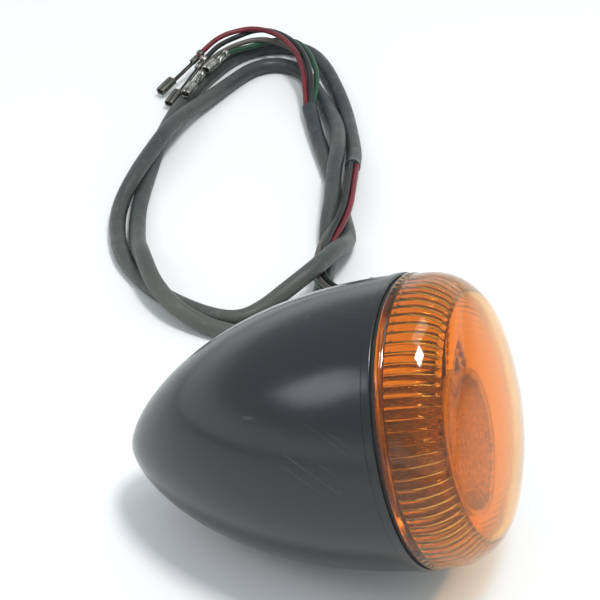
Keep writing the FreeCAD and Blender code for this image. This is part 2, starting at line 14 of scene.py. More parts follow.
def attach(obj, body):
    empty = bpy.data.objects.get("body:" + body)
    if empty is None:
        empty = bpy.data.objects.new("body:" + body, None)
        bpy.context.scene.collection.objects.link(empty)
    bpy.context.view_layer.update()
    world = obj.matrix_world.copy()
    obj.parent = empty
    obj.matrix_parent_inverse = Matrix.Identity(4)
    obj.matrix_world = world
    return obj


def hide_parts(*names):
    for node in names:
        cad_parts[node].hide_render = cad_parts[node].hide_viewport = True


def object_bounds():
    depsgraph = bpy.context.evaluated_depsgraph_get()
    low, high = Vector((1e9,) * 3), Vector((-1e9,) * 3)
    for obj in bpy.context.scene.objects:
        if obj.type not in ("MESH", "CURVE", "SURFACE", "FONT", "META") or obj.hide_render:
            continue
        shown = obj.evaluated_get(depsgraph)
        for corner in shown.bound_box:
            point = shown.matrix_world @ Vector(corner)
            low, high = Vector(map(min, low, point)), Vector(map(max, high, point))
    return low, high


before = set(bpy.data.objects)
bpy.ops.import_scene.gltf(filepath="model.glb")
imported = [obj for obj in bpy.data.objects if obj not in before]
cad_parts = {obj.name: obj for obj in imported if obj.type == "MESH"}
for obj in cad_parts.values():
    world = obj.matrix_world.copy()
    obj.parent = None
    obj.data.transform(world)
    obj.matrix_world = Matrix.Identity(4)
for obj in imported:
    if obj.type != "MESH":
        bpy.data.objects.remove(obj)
cad_low, cad_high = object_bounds()
FLOOR = cad_low[2]      # metres

MM = 0.001
LEAN = math.radians(17.5)
STUD_X = -26.0
STUD_Y = 39.0           # the row frame's origin, on the stud

# Lens: a skirt inside the housing's rim, a thin flange, a wall, a round corner and a dome
LENS_R = 32.7
LENS_WALL = 2.2
SKIRT_END = -2.8
SKIRT_R = 30.65
SKIRT_INNER_R = 28.9
FLANGE_BACK = 0.82
FLANGE_FRONT = 2.02
FLANGE_R = 33.0
EDGE = 0.15             # bevel of the flange
CORNER_X = 5.0
CORNER_R = 11.7
APEX = 20.4
FLUTES = 80
FLUTE_DEPTH = 0.6
FLUTE_STEPS = 10        # columns of points on each flute
FLUTE_START = 1.7
FLUTE_RUN_IN = 1.2      # over which a flute rounds up to its full height
FLUTE_INNER_R = 26.6    # smooth disc inside the flutes

# Cap over the bulb: an engraved face inside a rim
CAP_Y = -3.0
CAP_Z = -4.5
CAP_R = 14.6
CAP_FACE = (9.2, 9.5)   # along the axis, where the faint wall gives way to the face

# Stud: flatted head, plain shank and thread, with a bore all through
STUD_R = 5.0
BORE_R = 3.0
HEAD_R = 7.4
HEAD_FLAT = 6.2
HEAD_START = 22.5
HEAD_END = 25.0
HEAD_BEVEL = 0.2
THREAD_START = 34.5
STUD_END = 48.0
PITCH = 1.25
THREAD_DEPTH = 0.62

# Lead, as x, y and height above the floor, but BASE_RISE has z of the row frame.
# The two lengths are in metres.
SHEATH_R = 2.4
WIRE_R = 0.85
WIRE_STEP = 0.95        # from the middle of the bundle to a wire, across and above
BUNDLE = {"red": (1, 1), "black": (-1, 1), "grey": (-1, -1), "green": (1, -1)}
BASE_RISE = [(0, 9, 0.0), (0, 21, 0.0), (-2, 33, -7.5)]
BASE_DOWN = [
    (-7, 39.5, 14), (-15.5, 44.5, 8), (-23.2, 53.5, 6.7), (-24.4, 64, 7.4), (-24.6, 72.5, 7),
    (-23.8, 79.5, 7), (-23.6, 88, 7.2), (-25, 98, 7.2), (-27.4, 112.5, 7),
]
BASE_TWIST = (-108, -108, -108, -108, -108, -108, -95, -70, -50, -42, -42, -42)  # degrees
SHEATH_ROUTE = [
    # up the right side, over the top and down the left side
    (-27.4, 112.5, 7), (-29, 122, 4.4), (-32.8, 135, 2.8), (-40.4, 155.5, 2.4),
    (-49.6, 174, 2.4), (-55.8, 184, 2.4), (-62.5, 189.8, 2.4), (-70.8, 190.6, 2.4),
    (-78.5, 186.6, 2.4), (-84.6, 178, 2.4), (-88.2, 164.5, 2.4), (-90.2, 151, 2.4),
    (-91.6, 138, 2.4), (-90.5, 119, 2.4), (-87.5, 99.5, 2.4), (-85, 84, 2.4), (-82, 73, 2.4),
    (-78, 61.5, 3.4), (-74.5, 54, 7.2), (-70.5, 46.5, 8.3), (-65.5, 39, 7),
    (-58, 32.4, 5.3), (-51.5, 30, 3.6), (-44.5, 28.2, 2.6), (-34, 28, 2.4), (-25.5, 34, 2.4),
    (-21.5, 44.5, 2.4),
    # the second turn
    (-21.8, 56, 2.4), (-23.6, 67, 2.4), (-26.2, 77, 2.7), (-27.8, 84.2, 5),
    (-28.8, 93, 7.2), (-32.2, 109, 7.4), (-33.8, 120, 7.4), (-37.6, 136, 5.5),
    (-44.3, 151.5, 2.7), (-53.5, 166, 2.4), (-58.5, 174, 2.4), (-64.7, 177.5, 2.4),
    (-70.8, 177, 2.4), (-76.2, 172, 2.4), (-80, 161.5, 2.4), (-83, 150, 3),
    (-86, 138, 4.4), (-87.5, 122, 7.5), (-88.5, 103, 7.2), (-89, 90.5, 6.5), (-90, 81, 3),
    (-87, 69, 2.4), (-81.5, 57, 2.4), (-75, 49, 2.4), (-65.5, 41, 2.4), (-55.5, 36.3, 2.4),
    (-46.5, 33.8, 2.4), (-39.5, 34, 2.8), (-34.2, 38, 4.5),
    # the last run, to where the wires come out
    (-28.7, 43, 8.6), (-22.8, 50.5, 11.9), (-20.2, 64, 9.9), (-19.9, 73, 5.8),
    (-20.6, 80, 3.1), (-23.4, 87.5, 2.6), (-27, 96, 2.4), (-31, 106, 2.4),
    (-35.5, 116.5, 2.4), (-40.5, 127, 2.4), (-45.5, 138, 2.6), (-50.5, 150, 3.5),
]
END_ROUTES = {
    "red": [
        (-51.3, 148.6, 4.4), (-54.2, 158.4, 7.2), (-56.8, 164.7, 9.6), (-60.6, 171.3, 11.4),
        (-66.3, 177.9, 12), (-72.6, 182.7, 11.6), (-78.8, 184.6, 11), (-84.1, 182.9, 10.2),
        (-88.3, 179.2, 9.6), (-91.3, 173.8, 8.4), (-93.6, 166.4, 6.6),
    ],
    "black": [
        (-49.7, 148.6, 4.4), (-51.6, 157.5, 8.4), (-55, 166, 10.2), (-60, 175.5, 10.6),
        (-66.6, 183.2, 10), (-73.3, 187.4, 9.5), (-79.2, 187.2, 9), (-83.4, 182.6, 8.4),
        (-86.4, 178, 8.4), (-88.9, 172.4, 8.2), (-90.9, 162.5, 6.8),
    ],
    "grey": [
        (-51.3, 150, 2.6), (-52.6, 158.5, 6.2), (-55.3, 167, 8), (-60.4, 174.5, 8.8),
        (-66, 179.8, 8.6), (-71.8, 182.8, 8.3), (-77, 183.4, 7.8), (-81.4, 181.2, 7.1),
        (-84.6, 177.4, 6.8), (-87.4, 171.5, 6.8), (-89.3, 163, 6.6), (-88.7, 153.5, 6.5),
    ],
    "green": [
        (-49.7, 150, 2.6), (-50.2, 158, 6.6), (-52.4, 167, 7.2), (-57.4, 177.3, 8),
        (-62.6, 184.6, 7.5), (-67.4, 187.3, 6.9), (-72.6, 186.8, 6.4), (-77.8, 181.6, 6.1),
        (-81.4, 178.2, 6.2), (-83.8, 174, 6.8), (-85.3, 168.5, 7.2),
    ],
}
TERMINAL_TIPS = {
    "red": (-100.3, 149.5, 2.2),
    "black": (-95.1, 142.6, 2.2),
    "grey": (-89.9, 142.6, 5.9),
    "green": (-88.2, 156.6, 7.0),
}
TERMINAL_STEMS = {"red": 8.6, "black": 10.8, "grey": 0.0, "green": 0.0}
STRIP = 0.32            # thickness of a terminal's metal

# Camera, on the row frame
EYE = (84.9, -371.1, 275.4)
LOOK = (-0.21064, 0.79238, -0.57250)
UP = (-0.14708, 0.55329, 0.81990)
FOCAL = 115.85


# ---------------------------------------------------------------- frames

def to_row(x, y, z):
    """A point of the lamp's own frame, in millimetres, in the row frame in metres."""
    dx = x - STUD_X
    c = math.cos(LEAN)
    s = math.sin(LEAN)
    return Vector((dx * c - z * s, y - STUD_Y, dx * s + z * c)) * MM


def above_floor(x, y, height):
    return Vector((x * MM, y * MM, FLOOR + height * MM))


# ---------------------------------------------------------------- node helpers

def new_material(name):
    """A material with one Principled shader, and its node tree."""
    made = bpy.data.materials.new(name)
    made.use_nodes = True
    tree = made.node_tree
    return made, tree, tree.nodes["Principled BSDF"]


def add(tree, kind, **inputs):
    """A node with these input values. An underscore in a name stands for a space."""
    node = tree.nodes.new(kind)
    for name, value in inputs.items():
        node.inputs[name.replace("_", " ")].default_value = value
    return node


def place_coords(tree, stretch=(1, 1, 1), turn=(0, 0, 0), origin=(0, 0, 0)):
    """Object coordinates from an origin, turned and then stretched."""
    coords = tree.nodes.new("ShaderNodeTexCoord")
    mapping = tree.nodes.new("ShaderNodeMapping")
    mapping.vector_type = "TEXTURE"
    mapping.inputs["Scale"].default_value = stretch
    mapping.inputs["Rotation"].default_value = turn
    mapping.inputs["Location"].default_value = origin
    tree.links.new(coords.outputs["Object"], mapping.inputs["Vector"])
    return mapping.outputs["Vector"]


def part_of(tree, vector, axis):
    """One component, X, Y or Z, of a vector."""
    node = tree.nodes.new("ShaderNodeSeparateXYZ")
    tree.links.new(vector, node.inputs[0])
    return node.outputs[axis]


def noise(tree, coords, scale, detail=3.0, rough=0.55):
    node = add(tree, "ShaderNodeTexNoise", Scale=scale, Detail=detail, Roughness=rough)
    tree.links.new(coords, node.inputs["Vector"])
    return node.outputs["Fac"]


def cells(tree, coords, scale):
    node = add(tree, "ShaderNodeTexVoronoi", Scale=scale)
    tree.links.new(coords, node.inputs["Vector"])
    return node.outputs["Distance"]


def span(tree, value, low, high, to_low, to_high):
    """value from low..high mapped to to_low..to_high, and held at the ends."""
    node = add(
        tree, "ShaderNodeMapRange", From_Min=low, From_Max=high, To_Min=to_low, To_Max=to_high
    )
    tree.links.new(value, node.inputs["Value"])
    return node.outputs["Result"]


def maths(tree, kind, one, two):
    node = tree.nodes.new("ShaderNodeMath")
    node.operation = kind
    for socket, value in zip(node.inputs, (one, two)):
        if isinstance(value, (int, float)):
            socket.default_value = value
        else:
            tree.links.new(value, socket)
    return node.outputs[0]


def off_level(tree, value, level):
    """How far a value lies from a level, either way."""
    return maths(tree, "ABSOLUTE", maths(tree, "SUBTRACT", value, level), 0.0)


def blend_colours(tree, factor, one, two):
    """A mix of two colours, either of which may be the output of another node."""
    node = tree.nodes.new("ShaderNodeMix")
    node.data_type = "RGBA"
    for socket, colour in ((node.inputs[6], one), (node.inputs[7], two)):
        if isinstance(colour, tuple):
            socket.default_value = (*colour, 1)
        else:
            tree.links.new(colour, socket)
    tree.links.new(factor, node.inputs[0])
    return node.outputs[2]


def bump(tree, shader, height, strength, distance):
    node = add(tree, "ShaderNodeBump", Strength=strength, Distance=distance)
    tree.links.new(height, node.inputs["Height"])
    tree.links.new(node.outputs["Normal"], shader.inputs["Normal"])


# ---------------------------------------------------------------- materials

def hairlines(tree, turn, scale, where):
    """Thin straight scratches: level lines of a stretched noise, kept in patches."""
    coords = place_coords(tree, (1, 60, 60), turn)
    lines = noise(tree, coords, scale, 0.0)
    thin = span(tree, off_level(tree, lines, 0.5), 0.0, 0.004, 1.0, 0.0)
    patches = span(tree, noise(tree, place_coords(tree), where, 2.0), 0.58, 0.68, 0.0, 1.0)
    return maths(tree, "MULTIPLY", thin, patches)


def gloss_black():
    """Moulded gloss black with wiped haze, hairline scratches and small chips."""
    made, tree, shader = new_material("gloss_black")
    coords = place_coords(tree)
    haze = noise(tree, coords, 38, 4.0)
    one = hairlines(tree, (0, -0.73, 0.95), 150, 45)
    two = hairlines(tree, (0, -0.96, 1.83), 190, 70)
    scratches = maths(tree, "MAXIMUM", one, two)
    chips = span(tree, cells(tree, coords, 190), 0.0, 0.16, 1.0, 0.0)
    some = span(tree, noise(tree, coords, 45, 2.0), 0.6, 0.68, 0.0, 1.0)
    chips = maths(tree, "MULTIPLY", chips, some)
    worn = maths(tree, "MAXIMUM", scratches, chips)
    colour = blend_colours(tree, worn, (0.012, 0.014, 0.016), (0.05, 0.055, 0.057))
    tree.links.new(colour, shader.inputs["Base Color"])
    rough = span(tree, haze, 0.35, 0.7, 0.13, 0.24)
    rough = maths(tree, "ADD", rough, maths(tree, "MULTIPLY", worn, 0.25))
    tree.links.new(rough, shader.inputs["Roughness"])
    shader.inputs["IOR"].default_value = 1.55
    peel = noise(tree, coords, 420, 2.0)
    height = maths(tree, "SUBTRACT", maths(tree, "MULTIPLY", peel, 0.25), worn)
    bump(tree, shader, height, 0.25, 0.00006)
    return made


def dull(name, dark, light, rough, scale, strength, metallic):
    """A plain finish whose colour and roughness wander, with a fine bump."""
    made, tree, shader = new_material(name)
    coords = place_coords(tree)
    wander = noise(tree, coords, scale, 5.0, 0.6)
    factor = span(tree, wander, 0.35, 0.65, 0.0, 1.0)
    tree.links.new(blend_colours(tree, factor, dark, light), shader.inputs["Base Color"])
    tree.links.new(span(tree, wander, 0.3, 0.7, *rough), shader.inputs["Roughness"])
    shader.inputs["Metallic"].default_value = metallic
    bump(tree, shader, noise(tree, coords, scale * 6, 3.0), strength, 0.00008)
    return made


def let_light_through(tree, shader):
    """Shadow and diffuse rays pass with a pale tint, so what lies beyond is lit."""
    through = add(tree, "ShaderNodeBsdfTransparent", Color=(0.88, 0.8, 0.7, 1))
    path = tree.nodes.new("ShaderNodeLightPath")
    plain = maths(tree, "MAXIMUM", path.outputs["Is Shadow Ray"], path.outputs["Is Diffuse Ray"])
    mix = tree.nodes.new("ShaderNodeMixShader")
    tree.links.new(plain, mix.inputs[0])
    tree.links.new(shader.outputs[0], mix.inputs[1])
    tree.links.new(through.outputs[0], mix.inputs[2])
    tree.links.new(mix.outputs[0], tree.nodes["Material Output"].inputs["Surface"])


def amber_clear():
    """Transparent amber plastic with a faint ripple and haze."""
    made, tree, shader = new_material("amber")
    coords = place_coords(tree)
    shader.inputs["Base Color"].default_value = (0.96, 0.44, 0.055, 1)
    shader.inputs["Transmission Weight"].default_value = 1.0
    shader.inputs["IOR"].default_value = 1.49
    tree.links.new(
        span(tree, noise(tree, coords, 90, 4.0), 0.3, 0.7, 0.02, 0.07), shader.inputs["Roughness"]
    )
    bump(tree, shader, noise(tree, coords, 700, 2.0), 0.04, 0.00003)
    let_light_through(tree, shader)
    return made


def stippled_amber():
    """Amber cap: wormy engraving, faint on its wall, and a smooth paler rim."""
    made, tree, shader = new_material("amber_cap")
    squash = 1000
    axis = place_coords(tree, (squash, 1, 1), (0, -LEAN, 0), to_row(0, CAP_Y, CAP_Z))
    radius = tree.nodes.new("ShaderNodeVectorMath")
    radius.operation = "LENGTH"
    tree.links.new(axis, radius.inputs[0])
    rim = span(tree, radius.outputs["Value"], CAP_R * MM, (CAP_R + 0.3) * MM, 0.0, 1.0)
    back, front = (x * MM / squash for x in CAP_FACE)
    face = span(tree, part_of(tree, axis, "X"), back, front, 0.0, 1.0)
    coords = place_coords(tree)
    lines = noise(tree, coords, 620, 1.0)
    worms = span(tree, off_level(tree, lines, 0.5), 0.0, 0.07, 1.0, 0.0)
    shade = maths(tree, "MULTIPLY", worms, span(tree, face, 0.0, 1.0, 0.35, 1.0))
    colour = blend_colours(tree, shade, (1.0, 0.88, 0.64), (0.5, 0.2, 0.06))
    colour = blend_colours(tree, rim, colour, (1.0, 0.95, 0.8))
    tree.links.new(colour, shader.inputs["Base Color"])
    shader.inputs["Transmission Weight"].default_value = 1.0
    shader.inputs["IOR"].default_value = 1.49
    tree.links.new(span(tree, rim, 0.0, 1.0, 0.1, 0.03), shader.inputs["Roughness"])
    plain = maths(tree, "SUBTRACT", 1.0, rim)
    bump(tree, shader, maths(tree, "MULTIPLY", shade, plain), 0.8, 0.0006)
    let_light_through(tree, shader)
    return made


def mirror_metal():
    """Vacuum metallised plastic: bright, hazy and slightly rippled."""
    made, tree, shader = new_material("bright_metal")
    coords = place_coords(tree)
    shader.inputs["Metallic"].default_value = 1.0
    haze = noise(tree, coords, 70, 5.0)
    factor = span(tree, haze, 0.3, 0.7, 0.0, 1.0)
    colour = blend_colours(tree, factor, (0.9, 0.9, 0.88), (0.78, 0.77, 0.74))
    tree.links.new(colour, shader.inputs["Base Color"])
    tree.links.new(span(tree, haze, 0.3, 0.7, 0.08, 0.24), shader.inputs["Roughness"])
    ripple = maths(tree, "ADD", cells(tree, coords, 230), noise(tree, coords, 160, 2.0))
    bump(tree, shader, ripple, 0.25, 0.0005)
    return made


def clear_glass():
    made, tree, shader = new_material("clear_glass")
    coords = place_coords(tree)
    shader.inputs["Base Color"].default_value = (0.95, 0.97, 0.96, 1)
    shader.inputs["Transmission Weight"].default_value = 1.0
    shader.inputs["IOR"].default_value = 1.5
    tree.links.new(
        span(tree, noise(tree, coords, 60), 0.3, 0.7, 0.0, 0.04), shader.inputs["Roughness"]
    )
    bump(tree, shader, noise(tree, coords, 120, 2.0), 0.05, 0.0001)
    return made


def sheath_plastic():
    """Grey flexible sheath: smooth, darker and bluer further along +Y and patchy in tone, with
    rub marks and small pits.
    """
    made, tree, shader = new_material("grey_sheath")
    coords = place_coords(tree)
    # lighter where y is low and darker, bluer further along +Y, then shifted by random patches
    near = span(tree, part_of(tree, coords, "Y"), 0.06, 0.16, 0.75, 0.15)
    patchy = span(tree, noise(tree, coords, 20, 2.0), 0.35, 0.65, -0.35, 0.35)
    tone_by_y_and_patches = span(tree, maths(tree, "ADD", near, patchy), 0.0, 1.0, 0.0, 1.0)
    base = blend_colours(tree, tone_by_y_and_patches, (0.026, 0.033, 0.037), (0.088, 0.096, 0.082))
    rubs = span(tree, noise(tree, coords, 260, 5.0, 0.7), 0.56, 0.72, 0.0, 0.45)
    colour = blend_colours(tree, rubs, base, (0.16, 0.16, 0.145))
    tree.links.new(colour, shader.inputs["Base Color"])
    tree.links.new(
        span(tree, noise(tree, coords, 180, 3.0), 0.3, 0.7, 0.36, 0.56),
        shader.inputs["Roughness"],
    )
    lumps = maths(tree, "ADD", noise(tree, coords, 150, 2.0), noise(tree, coords, 900, 2.0))
    bump(tree, shader, lumps, 0.35, 0.0003)
    return made


def tinned_metal():
    """Tinned brass, dark with tarnish on the two outer terminals."""
    made, tree, shader = new_material("tinned")
    coords = place_coords(tree)
    outer = span(tree, part_of(tree, coords, "X"), -0.0925, -0.0905, 0.75, 0.0)
    wander = span(tree, noise(tree, coords, 260, 5.0, 0.6), 0.35, 0.65, 0.0, 1.0)
    clean = maths(tree, "SUBTRACT", wander, outer)
    clean = span(tree, clean, 0.0, 1.0, 0.0, 1.0)
    colour = blend_colours(tree, clean, (0.17, 0.165, 0.15), (0.66, 0.65, 0.62))
    tree.links.new(colour, shader.inputs["Base Color"])
    tree.links.new(span(tree, clean, 0.0, 1.0, 0.5, 0.25), shader.inputs["Roughness"])
    shader.inputs["Metallic"].default_value = 1.0
    bump(tree, shader, noise(tree, coords, 1500, 3.0), 0.4, 0.00008)
    return made


DULL_FINISHES = {
    # dark and light colour, least and most roughness, scale, strength of the bump, metallic
    "seal_rubber": ((0.012, 0.012, 0.012), (0.03, 0.03, 0.03), (0.5, 0.75), 300, 0.2, 0.0),
    "steel": ((0.42, 0.42, 0.41), (0.62, 0.61, 0.59), (0.25, 0.45), 140, 0.3, 1.0),
    "phenolic": ((0.11, 0.055, 0.025), (0.2, 0.11, 0.05), (0.45, 0.65), 420, 0.2, 0.0),
    "brass": ((0.55, 0.38, 0.14), (0.75, 0.56, 0.26), (0.2, 0.42), 120, 0.2, 1.0),
    "solder": ((0.45, 0.45, 0.46), (0.66, 0.66, 0.66), (0.3, 0.5), 500, 0.4, 1.0),
    "wire_red": ((0.11, 0.008, 0.016), (0.2, 0.015, 0.028), (0.32, 0.5), 160, 0.2, 0.0),
    "wire_black": ((0.008, 0.01, 0.011), (0.02, 0.024, 0.024), (0.32, 0.5), 160, 0.2, 0.0),
    "wire_grey": ((0.07, 0.06, 0.052), (0.13, 0.118, 0.105), (0.36, 0.55), 160, 0.2, 0.0),
    "wire_green": ((0.008, 0.045, 0.022), (0.016, 0.09, 0.045), (0.32, 0.5), 160, 0.2, 0.0),
}


def all_materials():
    """One material for each slot of the record."""
    made = {
        "black_gloss": gloss_black(),
        "amber": amber_clear(),
        "amber_cap": stippled_amber(),
        "bright_metal": mirror_metal(),
        "clear_glass": clear_glass(),
        "grey_sheath": sheath_plastic(),
        "tinned": tinned_metal(),
    }
    for slot, finish in DULL_FINISHES.items():
        made[slot] = dull(slot, *finish)
    return made


MATERIALS = all_materials()


def finish_cad_nodes():
    """Gives each CAD node that stays the material of its record slot."""
    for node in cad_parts.values():
        for holder in node.material_slots:
            holder.material = MATERIALS[holder.material.name.split(".")[0]]


# ---------------------------------------------------------------- mesh helpers

def mesh_piece(name, points, faces, slot, body="lamp"):
    """A smooth-shaded mesh piece that rides on a body and takes a slot's finish."""
    mesh = bpy.data.meshes.new(name)
    mesh.from_pydata([tuple(p) for p in points], [], faces)
    made = bmesh.new()
    made.from_mesh(mesh)
    bmesh.ops.recalc_face_normals(made, faces=made.faces)
    made.to_mesh(mesh)
    made.free()
    mesh.polygons.foreach_set("use_smooth", [True] * len(mesh.polygons))
    mesh.materials.append(MATERIALS[slot])
    piece = bpy.data.objects.new(name, mesh)
    bpy.context.scene.collection.objects.link(piece)
    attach(piece, body)
    return piece


def around(columns):
    """Angles of the columns of a turned shape."""
    return [2 * math.pi * j / columns for j in range(columns)]


def grid_faces(rows, columns, close_rows=False):
    """Quads of a grid whose columns go round and whose rows may close too."""
    faces = []
    last = rows if close_rows else rows - 1
    for i in range(last):
        k = (i + 1) % rows
        for j in range(columns):
            n = (j + 1) % columns
            faces.append((i * columns + j, k * columns + j, k * columns + n, i * columns + n))
    return faces


# ---------------------------------------------------------------- lens

def dome_numbers(apex, corner_radius):
    """Radius of the front dome, and the angle at which it meets the corner."""
    corner_r = LENS_R - CORNER_R
    reach = apex - CORNER_X
    dome = (reach ** 2 + corner_r ** 2 - corner_radius ** 2) / (2 * (reach - corner_radius))
    return dome, math.asin(corner_r / (dome - corner_radius))


def lens_profile(apex, corner_radius, corner_steps, dome_steps):
    """Points (x, r) and slopes of the wall's end, the corner and the dome."""
    corner_r = LENS_R - CORNER_R
    dome, angle = dome_numbers(apex, corner_radius)
    points = []
    for k in range(corner_steps + 1):
        a = math.pi / 2 + (angle - math.pi / 2) * k / corner_steps
        points.append(
            (CORNER_X + corner_radius * math.cos(a), corner_r + corner_radius * math.sin(a), a)
        )
    for k in range(1, dome_steps + 1):
        a = angle * (1 - k / dome_steps)
        points.append((apex - dome + dome * math.cos(a), dome * math.sin(a), a))
    return points


def flute_height(across, from_root):
    """Height of a rounded flute, 0 to 1. across runs from -1 to 1 over one flute."""
    short = max(0.0, 1.0 - from_root)
    return math.sqrt(max(0.0, 1.0 - (0.97 * across) ** 2 - short ** 2))


def lens_outside():
    """Points (x, r) of the outside, from the skirt's end to the apex."""
    outside = [(SKIRT_END, SKIRT_R), (FLANGE_BACK, SKIRT_R)]
    outside += [(FLANGE_BACK, FLANGE_R - EDGE), (FLANGE_BACK + EDGE, FLANGE_R)]
    outside += [(FLANGE_FRONT - EDGE, FLANGE_R), (FLANGE_FRONT, FLANGE_R - EDGE)]
    outside += [(FLANGE_FRONT + 0.03, LENS_R + 0.08), (3.5, LENS_R + 0.02)]
    outside += [(x, r) for x, r, _ in lens_profile(APEX, CORNER_R, 20, 12)]
    return outside


def lens_inside():
    """Points (x, r) and slopes of the inside, up to the apex. The skirt's have no slope."""
    wall_r = LENS_R - LENS_WALL
    inside = [(SKIRT_END, SKIRT_INNER_R, None), (1.0, SKIRT_INNER_R, None), (1.6, 29.3, None)]
    for k in range(11):
        inside.append((FLUTE_START + 0.3 * k, wall_r - 0.25 + 0.04 * min(k, 6), math.pi / 2))
    inside += lens_profile(APEX - LENS_WALL, CORNER_R - LENS_WALL, 22, 14)[:-1]
    return inside


def raised(x, r, slope, across):
    """A point of the inside lifted by the flute it lies on, if it lies on one."""
    if slope is None or r <= FLUTE_INNER_R:
        return x, r
    rise = FLUTE_DEPTH * flute_height(across, (x - FLUTE_START) / FLUTE_RUN_IN)
    return x - rise * math.cos(slope), r - rise * math.sin(slope)


def build_lens():
    """Amber cup, smooth outside, with rounded flutes inside its wall and corner."""
    outside = lens_outside()
    inside = lens_inside()
    columns = FLUTES * FLUTE_STEPS
    points = []
    for x, r in outside[:-1]:
        points += [to_row(x, r * math.cos(t), r * math.sin(t)) for t in around(columns)]
    tip = len(points)
    points.append(to_row(APEX, 0, 0))
    first_inside = len(points)
    for x, r, slope in inside:
        for j, t in enumerate(around(columns)):
            across = 2 * (j % FLUTE_STEPS) / FLUTE_STEPS - 1
            deep, inward = raised(x, r, slope, across)
            points.append(to_row(deep, inward * math.cos(t), inward * math.sin(t)))
    back = len(points)
    points.append(to_row(APEX - LENS_WALL, 0, 0))
    faces = grid_faces(len(outside) - 1, columns)
    for a, b, c, d in grid_faces(len(inside), columns):
        faces.append(tuple(first_inside + v for v in (d, c, b, a)))
    last_outside = tip - columns
    last_inside = back - columns
    for j in range(columns):
        n = (j + 1) % columns
        faces.append((last_outside + j, tip, last_outside + n))
        faces.append((last_inside + n, back, last_inside + j))
        faces.append((j, n, first_inside + n, first_inside + j))
    lens = mesh_piece("fluted_lens", points, faces, "amber", "lens_cup")
    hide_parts("lens")


# ---------------------------------------------------------------- lead

def spline_piece(name, points, radius, slot):
    """A cord: a round-bevelled curve on one open NURBS line of third order."""
    curve = bpy.data.curves.new(name, "CURVE")
    curve.dimensions = "3D"
    curve.resolution_u = 10
    curve.bevel_depth = radius * MM
    curve.bevel_resolution = 6
    curve.use_fill_caps = True
    line = curve.splines.new("NURBS")
    line.points.add(len(points) - 1)
    for target, point in zip(line.points, points):
        target.co = (*point, 1)
    line.order_u = 3
    line.use_endpoint_u = True
    line.use_smooth = True
    curve.materials.append(MATERIALS[slot])
    piece = bpy.data.objects.new(name, curve)
    bpy.context.scene.collection.objects.link(piece)
    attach(piece, "lamp")
    return piece


def beside(points, offsets):
    """A route moved sideways and upwards at each point, square to its own direction."""
    moved = []
    for i, (point, (across, above)) in enumerate(zip(points, offsets)):
        along = (points[min(i + 1, len(points) - 1)] - points[max(i - 1, 0)]).normalized()
        side = along.cross(Vector((0, 0, 1))).normalized()
        moved.append(point + (side * across + side.cross(along) * above) * MM)
    return moved


def base_wires():
    """Four bare wires from the stud's bore to the sheath, twisted by less than a quarter turn."""
    middle = [Vector(p) * MM for p in BASE_RISE]
    middle += [above_floor(*p) for p in BASE_DOWN]
    for colour, (across, above) in BUNDLE.items():
        offsets = []
        for twist in BASE_TWIST:
            angle = LEAN + math.radians(twist)
            c = WIRE_STEP * math.cos(angle)
            s = WIRE_STEP * math.sin(angle)
            offsets.append((across * c - above * s, across * s + above * c))
        route = beside(middle, offsets)
        wire = spline_piece("base_lead_" + colour, route, WIRE_R, "wire_" + colour)
        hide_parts("base_wire_" + colour)


def sheath():
    """The grey sheathed lead, coiled twice and a bit on the floor."""
    route = [above_floor(*p) for p in SHEATH_ROUTE]
    piece = spline_piece("sheath", route, SHEATH_R, "grey_sheath")
    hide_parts("cable_head", "cable_coil", "cable_tail")


# ---------------------------------------------------------------- terminals

def strip_section(width, height, thick, gap, steps):
    """Closed outline, as (y, z), of a thin strip rolled into an open rounded box."""
    corner = min(width, height) * 0.32
    quarter = [math.pi / 2 * k / steps for k in range(steps + 1)]
    w = width / 2
    h = height
    path = [(-gap / 2, h)]
    for a in quarter:
        path.append((-w + corner - corner * math.sin(a), h - corner + corner * math.cos(a)))
    for a in quarter:
        path.append((-w + corner - corner * math.cos(a), corner - corner * math.sin(a)))
    for a in quarter:
        path.append((w - corner + corner * math.sin(a), corner - corner * math.cos(a)))
    for a in quarter:
        path.append((w - corner + corner * math.cos(a), h - corner + corner * math.sin(a)))
    path.append((gap / 2, h))
    middle = h / 2
    inside = []
    for y, z in reversed(path):
        k = 1 - thick / math.hypot(y, z - middle)
        inside.append((y * k, middle + (z - middle) * k))
    return path + inside


def terminal_shape(stem):
    """Points and faces of one bare crimp terminal along +X, from the wire to its mouth.

    stem is the length of thin strip between the crimp and the box.
    """
    neck = 1.2 if stem else 1.9
    stations = [
        # x, width, height, gap at the top
        (-3.6, 2.3, 2.2, 0.1), (-2.2, 2.3, 2.2, 0.1), (-2.0, 1.9, 1.0, 1.4),
        (-1.2, 1.9, 0.9, 1.5), (-1.0, 2.0, 1.7, 0.1), (1.6, 2.0, 1.7, 0.1),
        (1.9, neck, 0.9, neck - 0.4), (stem + 3.0, neck, 0.9, neck - 0.4),
        (stem + 3.4, 3.0, 2.2, 0.5), (stem + 3.8, 3.1, 2.4, 0.3),
        (stem + 9.4, 3.1, 2.4, 0.3), (stem + 10.0, 3.0, 2.3, 0.4),
    ]
    points = []
    for x, width, height, gap in stations:
        ring = strip_section(width, height, STRIP, gap, 3)
        points += [Vector((x, y, z - 0.85)) for y, z in ring]
    columns = len(points) // len(stations)
    faces = grid_faces(len(stations), columns)
    faces.append(tuple(range(columns)))
    faces.append(tuple(reversed(range(len(points) - columns, len(points)))))
    return points, faces


